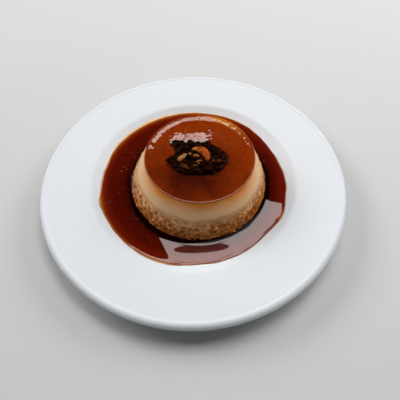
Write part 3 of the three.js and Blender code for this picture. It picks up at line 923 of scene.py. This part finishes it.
def make_heap(flan, topping):
    """Soaked fruit: a low syrupy bed of the heap's outline, with wrinkled bits lying in it."""
    bed_rings = [  # share of the outline, share of the bed's thickness
        (0.05, 0.0), (0.6, 0.0), (0.95, 0.0), (1.0, 0.12), (1.0, 0.35), (0.96, 0.65), (0.9, 0.85),
        (0.82, 0.95), (0.7, 1.0), (0.55, 1.0), (0.4, 1.0), (0.25, 1.0), (0.1, 1.0), (0.03, 1.0),
    ]
    bed = ring_stack("fruit_bed", bed_rings, 128)
    subdivide(bed, 1)

    def spread(x, y, z):
        angle = atan2(y, x)
        here = Vector((*polar(1, angle), 0))
        ragged = (1.1 * noise(7 * here) + 0.3 * noise(19 * here)) * MM
        at = hypot(x, y) * (heap_reach(angle) - 0.5 * MM + ragged) * here
        rise = topping.bed * (1 + 0.35 * noise(at / (2.6 * MM)))
        return on_top(flan, at.x, at.y, z * rise - 0.1 * MM)

    reshape(bed, spread)
    draw = random.Random(topping.seed)
    kinds = [lump(f"fruit_{seed}", seed, 0.8, 0.3) for seed in (1, 2, 3, 4)]
    beads = [bead for chain, _ in LARGE_BITS.values() for bead in chain]
    placements = []
    rings = [  # share of the outline, bits, radius of a bit in mm
        (0.94, 17, 1.9), (0.8, 13, 2.7), (0.58, 9, 2.9), (0.36, 6, 3.0), (0.12, 2, 3.2),
    ]
    for share, count, radius in rings:
        for index in range(count):
            angle = tau * (index + 0.8 * draw.random()) / count
            size = radius * MM * (0.75 + 0.45 * draw.random())
            reach = share * heap_reach(angle) - 0.25 * size
            x, y = polar(reach, angle)
            rise = topping.bed * smoothstep(1 - share, 0.0, 0.2) + size * (0.22 * draw.random() - 0.05)
            room = 0.6 * MM + 0.5 * size  # what a bit needs beside the large pieces, or it lies lower
            if any(hypot(x - bx * MM, y - by * MM) < br * MM + room for bx, by, br in beads):
                rise -= 1.0 * MM
            place = on_top(flan, x, y, rise)
            kind = draw.randrange(len(kinds))
            placements.append((kind, turned_at_random(draw, place, size, topping.bit_flatness)))
    select(copies_joined("soaked_fruit_heap", kinds, placements), bed)
    bpy.ops.object.join()
    heap = settle(bpy.context.object, "soaked_fruit_heap")
    modify(heap, "REMESH", voxel_size=0.22 * MM)
    modify(heap, "SMOOTH", iterations=14)
    displace(heap, "CLOUDS", 1.3 * MM, 0.4 * MM)
    return settle(heap, "soaked_fruit_heap")


def make_long_bit(flan, name, kind, relief, grain, flatness=0.85):
    """Long bit of fruit or nut: a tapered stack of rings bent along its beads, then made uneven."""
    chain, height = LARGE_BITS[kind]
    beads = [(Vector((x, y)) * MM, radius * MM) for x, y, radius in chain]
    lengths = [0.0]
    for (start, _), (end, _) in zip(beads, beads[1:]):
        lengths.append(lengths[-1] + (end - start).length)
    first, last, whole = beads[0][1], beads[-1][1], lengths[-1]

    def along(distance):
        """Place and radius at a distance along the beads, run on past both ends."""
        step = 0
        while step < len(beads) - 2 and distance > lengths[step + 1]:
            step += 1
        (start, start_radius), (end, end_radius) = beads[step], beads[step + 1]
        share = (distance - lengths[step]) / (lengths[step + 1] - lengths[step])
        return start.lerp(end, share), start_radius + (end_radius - start_radius) * smoothstep(share, 0, 1)

    def rounded(distance):
        """Radius with both ends rounded off."""
        if distance < 0:
            return first * sqrt(max(1 - (distance / first) ** 2, 0.02))
        if distance > whole:
            return last * sqrt(max(1 - ((distance - whole) / last) ** 2, 0.02))
        return along(distance)[1]

    rows = 18
    stations = [-0.97 * first + (whole + 0.97 * (first + last)) * row / rows for row in range(rows + 1)]
    body = ring_stack(name, [(rounded(station), station) for station in stations], 20)

    def bent(x, y, z):
        reach = 0.7 * MM
        behind, at, ahead = (along(z + step)[0] for step in (-reach, 0, reach))
        heading = (ahead - behind).normalized()
        at = (behind + at + ahead) / 3 + x * Vector((-heading.y, heading.x))
        floor = on_plate(flan, at.x, at.y, flan.top - 2.2 * MM)
        return floor + Vector((0, 0, height * MM + flatness * y))

    reshape(body, bent)
    select(body)
    bpy.ops.object.mode_set(mode="EDIT")
    bpy.ops.mesh.select_all(action="SELECT")
    bpy.ops.mesh.normals_make_consistent(inside=False)
    bpy.ops.object.mode_set(mode="OBJECT")
    subdivide(body, 2)
    for share in (1, 0.35):
        displace(body, "CLOUDS", share * grain, share * relief)
    return settle(body, name)


def make_bubbles(name, spots):
    """Small low bubbles, each spot its place and its radius."""
    placements = []
    for place, size in spots:
        placements.append((0, Matrix.Translation(place) @ Matrix.Diagonal((size, size, 0.6 * size, 1))))
    return copies_joined(name, [lump("bubble", 20, 0.0, 0.0, 2)], placements)


def make_topping_crumbs(flan, name, seed, spots):
    """Small broken bits on the heap: each spot is x, y, size and height above the top, in mm."""
    draw = random.Random(seed)
    kinds = [lump(f"{name}_{index}", seed + index, 0.5, 0.3, 2) for index in (1, 2)]
    placements = []
    for index, (x, y, size, above) in enumerate(spots):
        place = on_top(flan, x * MM, y * MM, above * MM)
        placements.append((index % 2, turned_at_random(draw, place, size * MM, 0.75)))
    return copies_joined(name, kinds, placements)


def make_custard_crumbs(flan, topping):
    """Crumbs of custard that cling to the torn side and lie at its foot."""
    draw = random.Random(topping.seed + 1)
    kinds = [lump(f"crumb_{index}", 10 + index, 0.6, 0.35, 2) for index in (1, 2)]
    placements = []
    count = 44
    for index in range(count):
        height = WELL_FLOOR + (3.8 + 10 * draw.random() ** 1.5) * MM
        angle = tau * (index + draw.random()) / count
        size = (0.3 + 0.6 * draw.random() ** 2) * MM
        reach = flan_radius(flan, height) + (0.1 + 0.4 * draw.random()) * MM
        place = on_plate(flan, *polar(reach, angle), height)
        placements.append((index % 2, turned_at_random(draw, place, size, 0.8)))
    crumbs = copies_joined("custard_crumbs", kinds, placements)
    store(crumbs, "crag", lambda co: 0.0)
    return crumbs


def make_pool_bubbles(form, topping):
    """Small bubbles that stand in the sauce, most of them on its left."""
    draw = random.Random(topping.seed + 2)
    spots = []
    for index in range(70):
        azimuth = 150 + 95 * draw.random() if index < 50 else 360 * draw.random()
        across = 0.2 + 0.62 * draw.random()
        size = (0.2 + 0.34 * draw.random() ** 2) * MM
        spots.append((form.point(azimuth, across), size))
    bubbles = make_bubbles("sauce_bubbles", spots)
    store(bubbles, "depth", lambda co: 0.42)
    return bubbles


def make_glaze_bubbles(flan, topping):
    """Tiny bubbles caught in the set caramel, most of them along its border."""
    draw = random.Random(topping.seed + 3)
    spots = []
    arcs = [(20, 62, 26), (118, 178, 34), (200, 345, 26)]  # degrees round the top, and bubbles
    for low, high, count in arcs:
        for _ in range(count):
            angle = radians(low + (high - low) * draw.random())
            reach = flan.top_radius - (0.7 + 3.8 * draw.random() ** 1.5) * MM
            size = (0.14 + 0.24 * draw.random() ** 2) * MM
            spots.append((on_top(flan, *polar(reach, angle)), size))
    return make_bubbles("glaze_bubbles", spots)


# ---- Operators ----


class FLAN_OT_plate(Operator):
    """Models the porcelain plate"""

    bl_idname = "flan.plate"
    bl_label = "Plate"

    def execute(self, context):
        settings = context.scene.flan_plate
        dress(make_plate(settings), glazed_porcelain(settings), "porcelain", "plate")
        return {"FINISHED"}


class FLAN_OT_custard(Operator):
    """Models the custard body with its torn lower side, and its crumbs"""

    bl_idname = "flan.custard"
    bl_label = "Custard"

    def execute(self, context):
        flan, topping = context.scene.flan_body, context.scene.flan_topping
        material = baked_custard(flan)
        dress(make_custard(flan), material, "custard", "custard")
        dress(make_custard_crumbs(flan, topping), material, "custard")
        return {"FINISHED"}


class FLAN_OT_glaze(Operator):
    """Models the set caramel on the flan's top, and its bubbles"""

    bl_idname = "flan.glaze"
    bl_label = "Caramel top"

    def execute(self, context):
        flan, topping = context.scene.flan_body, context.scene.flan_topping
        material = set_caramel(flan)
        dress(make_glaze(flan), material, "caramel_glaze", "caramel_top")
        dress(make_glaze_bubbles(flan, topping), material, "caramel_glaze")
        return {"FINISHED"}


class FLAN_OT_pool(Operator):
    """Models the pool of caramel sauce, and its bubbles"""

    bl_idname = "flan.pool"
    bl_label = "Caramel pool"

    def execute(self, context):
        scene = context.scene
        form = PoolForm(scene.flan_plate, scene.flan_body, scene.flan_sauce)
        material = caramel_sauce(scene.flan_sauce)
        dress(make_pool(form), material, "caramel_sauce", "caramel_pool")
        dress(make_pool_bubbles(form, scene.flan_topping), material, "caramel_sauce")
        return {"FINISHED"}


class FLAN_OT_heap(Operator):
    """Models the heap of soaked dark fruit"""

    bl_idname = "flan.heap"
    bl_label = "Fruit heap"

    def execute(self, context):
        flan, topping = context.scene.flan_body, context.scene.flan_topping
        material = food(
            "soaked_dried_fruit", linear("040100"), topping.fruit, 0.28, 3 * MM, gloss=0.06, sheen="FF9458"
        )
        dress(make_heap(flan, topping), material, "soaked_fruit", "fruit_topping")
        return {"FINISHED"}


class FLAN_OT_fruit_pieces(Operator):
    """Models the candied apricot and its crumbs, and the date sliver"""

    bl_idname = "flan.fruit_pieces"
    bl_label = "Apricot and date"

    def execute(self, context):
        flan, topping = context.scene.flan_body, context.scene.flan_topping
        middle = flan.base_x + flan.lean
        apricot = food(
            "candied_apricot", topping.apricot_deep, topping.apricot_tip, 0.3, 3 * MM,
            (middle - 3.5 * MM, middle + 0.5 * MM, topping.apricot), 0.2, "FFD0A8",
        )
        curl = make_long_bit(flan, "apricot_curl", "apricot", 1.1 * MM, 2.6 * MM, 0.6)
        dress(curl, apricot, "candied_apricot", "apricot_piece")
        spots = [(-2.2, -0.8, 1.1, 2.4), (-0.8, -1.6, 0.9, 2.4), (-3.3, -0.5, 0.7, 2.3)]
        dress(make_topping_crumbs(flan, "apricot_crumbs", 31, spots), apricot, "candied_apricot")
        date = food("soaked_date", topping.fruit, topping.date, 0.3, 2.2 * MM, gloss=0.12, sheen="FFC090")
        dress(make_long_bit(flan, "date_flake", "date", 0.7 * MM, 1.8 * MM), date, "date", "date_sliver")
        return {"FINISHED"}


class FLAN_OT_nut_pieces(Operator):
    """Models the walnut and almond pieces and the nut crumbs"""

    bl_idname = "flan.nut_pieces"
    bl_label = "Nuts"

    def execute(self, context):
        flan, topping = context.scene.flan_body, context.scene.flan_topping
        middle = flan.base_x + flan.lean
        walnut = food(
            "broken_walnut", topping.nut_skin, topping.nut, 0.42, 1.6 * MM,
            (middle - 11 * MM, middle - 8.6 * MM, linear("CC9A70")),
        )
        chunk = make_long_bit(flan, "walnut_chunk", "walnut", 0.9 * MM, 1.6 * MM)
        dress(chunk, walnut, "nut", "walnut_piece")
        almond = food(
            "glazed_almond", topping.fruit, topping.almond, 0.25, 2.6 * MM, gloss=0.12, sheen="FFC090"
        )
        chunk = make_long_bit(flan, "almond_chunk", "almond", 0.7 * MM, 2 * MM)
        dress(chunk, almond, "glazed_nut", "almond_piece")
        spots = [
            (-5.8, 0.0, 0.95, 3.0), (-0.6, -5.6, 0.8, 3.0), (0.4, -5.2, 0.5, 3.0), (-1.6, -6.2, 0.5, 2.9),
            (-0.6, -7.2, 0.5, 2.9), (1.2, -5.6, 0.45, 2.9), (-2.4, -8.6, 0.4, 2.7), (-3.4, -8.6, 0.35, 2.7),
        ]
        soaked = food("soaked_walnut", topping.nut_skin, topping.nut, 0.35, 1.2 * MM, gloss=0.2)
        dress(make_topping_crumbs(flan, "nut_crumbs", 37, spots), soaked, "nut")
        return {"FINISHED"}


def add_camera(settings):
    """Camera at the viewing angle, with the width of its frame on a 36 mm sensor."""
    deselect_all()
    bpy.ops.object.camera_add()
    camera = bpy.context.object
    camera.name = "camera"
    camera.data.lens = settings.lens
    camera.data.sensor_width = 36
    camera.data.sensor_fit = "HORIZONTAL"
    camera.data.clip_start = 0.01
    turn = Matrix.Rotation(pi / 2 - settings.camera_elevation, 4, "X")
    roll = Matrix.Rotation(settings.camera_roll, 4, "Z")
    camera.matrix_world = Matrix.Translation(settings.camera) @ turn @ roll
    return camera


def add_softbox(name, place, width, depth, power, aimed=True):
    """Rectangular light, turned to the flan or, where it isn't aimed, facing straight down."""
    flan_middle = Vector((0, 0, 0.02))
    bpy.ops.object.light_add(type="AREA")
    lamp = bpy.context.object
    lamp.name = name
    lamp.data.shape = "RECTANGLE"
    lamp.data.size = width
    lamp.data.size_y = depth
    lamp.data.energy = power
    turn = (Vector(place) - flan_middle).to_track_quat("Z", "Y").to_matrix().to_4x4() if aimed else Matrix()
    lamp.matrix_world = Matrix.Translation(place) @ turn


def put_on_stage(name, material):
    """Names the board just added and paints it."""
    board = bpy.context.object
    board.name = name
    board.data.materials.append(material)


class FLAN_OT_stage(Operator):
    """Sets the camera, the lights and the floor"""

    bl_idname = "flan.stage"
    bl_label = "Stage"

    def execute(self, context):
        scene = context.scene
        settings = scene.flan_stage
        scene.camera = add_camera(settings)
        bpy.ops.mesh.primitive_plane_add(size=6)
        put_on_stage("floor", matt_board("pale_board", settings.floor))
        side = (0.95, 0.6, 0.75)
        add_softbox("softbox", (0.1175, 0.3175, 0.9), 0.635, 0.475, settings.key_power, aimed=False)
        add_softbox("side_left", (-side[0], *side[1:]), 0.9, 0.5, 1.25 * settings.side_power)
        add_softbox("side_right", side, 0.9, 0.5, settings.side_power)
        add_softbox("front", (0, -0.85, 0.75), 1.0, 0.6, settings.front_power)
        # A bar and two black flags hang under the softbox, and give its reflections their outline.
        bpy.ops.mesh.primitive_cylinder_add(
            vertices=48, radius=1, depth=1, location=(0.006, 0.364, 0.885), rotation=(0, 0, radians(3)),
            scale=(0.09, 0.0165, 0.004),
        )
        put_on_stage("softbox_bar", matt_board("pale_bar", settings.floor))
        flags = [  # name, place, length, width, turn in degrees
            ("near_flag", (-0.2245, 0.305, 0.88), 0.25, 0.75, 26),
            ("far_flag", (0.345, 0.563, 0.88), 0.3, 0.1, -17),
        ]
        for name, place, along, across, turn in flags:
            bpy.ops.mesh.primitive_cube_add(
                size=1, location=place, rotation=(0, 0, radians(turn)), scale=(along, across, 0.004)
            )
            put_on_stage(name, matt_board("black_flag", linear("101010")))
        world = bpy.data.worlds.new("studio")
        world.use_nodes = True
        background = world.node_tree.nodes["Background"]
        background.inputs["Color"].default_value = linear("C8CCD2")
        background.inputs["Strength"].default_value = settings.ambient
        scene.world = world
        scene.view_settings.view_transform = "Standard"
        return {"FINISHED"}


OPERATORS = [
    FLAN_OT_stage, FLAN_OT_plate, FLAN_OT_custard, FLAN_OT_glaze, FLAN_OT_pool, FLAN_OT_heap,
    FLAN_OT_fruit_pieces, FLAN_OT_nut_pieces,
]


class FLAN_PT_pieces(Panel):
    """The pieces of the creme caramel, in the order they are made"""

    bl_label = "Creme Caramel"
    bl_idname = "FLAN_PT_pieces"
    bl_space_type = "VIEW_3D"
    bl_region_type = "UI"
    bl_category = "Creme Caramel"

    def draw(self, context):
        for operator in OPERATORS:
            self.layout.operator(operator.bl_idname)


def register():
    """Registers the settings, the operators and the panel."""
    for name, group in SETTINGS.items():
        bpy.utils.register_class(group)
        setattr(bpy.types.Scene, name, PointerProperty(type=group))
    for cls in (*OPERATORS, FLAN_PT_pieces):
        bpy.utils.register_class(cls)


def unregister():
    """Takes them out again."""
    for cls in reversed((*OPERATORS, FLAN_PT_pieces)):
        bpy.utils.unregister_class(cls)
    for name, group in SETTINGS.items():
        delattr(bpy.types.Scene, name)
        bpy.utils.unregister_class(group)


def main():
    """Makes every piece."""
    register()
    for operator in OPERATORS:
        group, name = operator.bl_idname.split(".")
        getattr(getattr(bpy.ops, group), name)()


if __name__ == "__main__":
    main()
